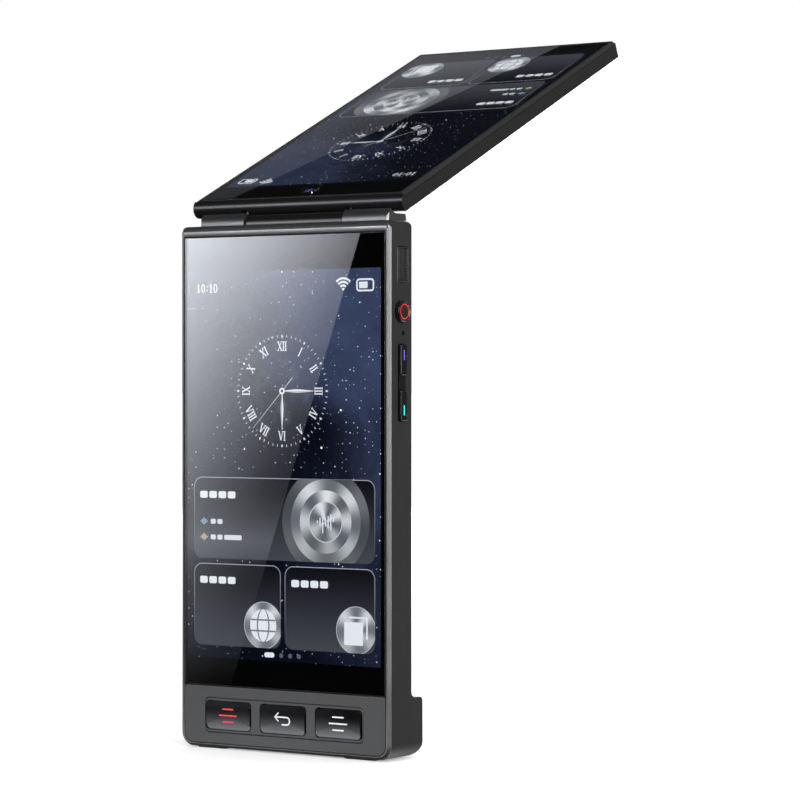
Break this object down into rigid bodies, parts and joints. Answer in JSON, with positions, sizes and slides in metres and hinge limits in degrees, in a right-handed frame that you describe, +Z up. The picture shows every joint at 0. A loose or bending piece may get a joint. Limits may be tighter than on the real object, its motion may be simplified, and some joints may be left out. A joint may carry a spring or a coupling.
{
  "type": "handheld translator",
  "caption": "Handheld translator with a screen and keys on the front and another screen on a lid that flips up over the top on a hinge link.",
  "frame": {"origin": "on the flat underside between the two foot lands, on the centre line, midway through the depth of the thick foot", "axes": "+X to the right of someone facing the main screen, +Y backwards away from that screen, +Z up along the body towards the hinge"},
  "size_m": [0.0741, 0.1254, 0.2088],
  "materials": {
    "dark_body_metal": "satin charcoal grey",
    "black_gloss": "gloss black",
    "trim_metal": "satin with a cut edge",
    "chin_metal": "satin grey",
    "key_metal": "satin dark grey",
    "cover_glass": "clear gloss over a black border",
    "lens_glass": "clear gloss",
    "screen": "dark screen",
    "inner_plastic": "matte black",
    "steel": "bare steel",
    "circuit_board": "green board lacquer",
    "tinned_steel": "tinned",
    "cell_wrap": "dark film",
    "red_light": "clear red",
    "purple_light": "clear purple",
    "cyan_light": "clear cyan"
  },
  "bodies": {
    "body": {"front_frame": "trim_metal", "front_glass": "cover_glass", "display_panel": "screen", "display_backlight": "inner_plastic", "chin_plate": "chin_metal", "keypad_plate": "chin_metal", "key_switch_board": "circuit_board", "main_housing": "dark_body_metal", "back_cover": "black_gloss", "foot_cover": "black_gloss", "chassis_plate": "tinned_steel", "chassis_screw_1": "steel", "chassis_screw_2": "steel", "chassis_screw_3": "steel", "chassis_screw_4": "steel", "battery": "cell_wrap", "main_board": "circuit_board", "board_shield": "tinned_steel", "charging_board": "circuit_board", "usb_connector": "steel", "speaker": "inner_plastic", "side_grille": "inner_plastic", "side_key_bezel": "inner_plastic", "side_switch_board": "circuit_board", "side_microphone": "tinned_steel", "hinge_centre_barrel": "black_gloss", "hinge_shaft_left": "steel", "hinge_shaft_right": "steel"},
    "link": {"hinge_link": "dark_body_metal", "link_arm_left": "steel", "link_arm_right": "steel"},
    "lid": {"lid_housing": "dark_body_metal", "lid_frame": "trim_metal", "lid_glass": "cover_glass", "lid_display": "screen", "lid_backlight": "inner_plastic", "lid_board": "circuit_board", "lid_camera_module": "inner_plastic", "lid_camera_ring": "trim_metal", "lid_camera_lens": "lens_glass", "lid_pin_left": "steel", "lid_pin_right": "steel"},
    "left_key": {"key_left": "key_metal"},
    "centre_key": {"key_centre": "key_metal"},
    "right_key": {"key_right": "key_metal"},
    "power": {"power_button": "key_metal", "power_light_ring": "red_light"},
    "upper_side_key": {"side_key_upper": "key_metal", "light_bar_upper": "purple_light"},
    "lower_side_key": {"side_key_lower": "key_metal", "light_bar_lower": "cyan_light"}
  },
  "joints": [
    {"name": "link_hinge", "type": "hinge", "parent": "body", "child": "link", "pos_m": [0, 0.0005, 0.1488], "axis": [1, 0, 0], "range_deg": [-90, 0]},
    {"name": "lid_hinge", "type": "hinge", "parent": "link", "child": "lid", "pos_m": [0, 0.00065, 0.154], "axis": [1, 0, 0], "range_deg": [-24.33, 35.67]},
    {"name": "left_key_press", "type": "slide", "parent": "body", "child": "left_key", "axis": [0, 1, 0], "range_m": [0, 0.0003], "stiffness_N_per_m": 800},
    {"name": "centre_key_press", "type": "slide", "parent": "body", "child": "centre_key", "axis": [0, 1, 0], "range_m": [0, 0.0003], "stiffness_N_per_m": 800},
    {"name": "right_key_press", "type": "slide", "parent": "body", "child": "right_key", "axis": [0, 1, 0], "range_m": [0, 0.0003], "stiffness_N_per_m": 800},
    {"name": "power_press", "type": "slide", "parent": "body", "child": "power", "axis": [-1, 0, 0], "range_m": [0, 0.00025], "stiffness_N_per_m": 800},
    {"name": "upper_side_key_press", "type": "slide", "parent": "body", "child": "upper_side_key", "axis": [-1, 0, 0], "range_m": [0, 0.00025], "stiffness_N_per_m": 800},
    {"name": "lower_side_key_press", "type": "slide", "parent": "body", "child": "lower_side_key", "axis": [-1, 0, 0], "range_m": [0, 0.00025], "stiffness_N_per_m": 800}
  ]
}
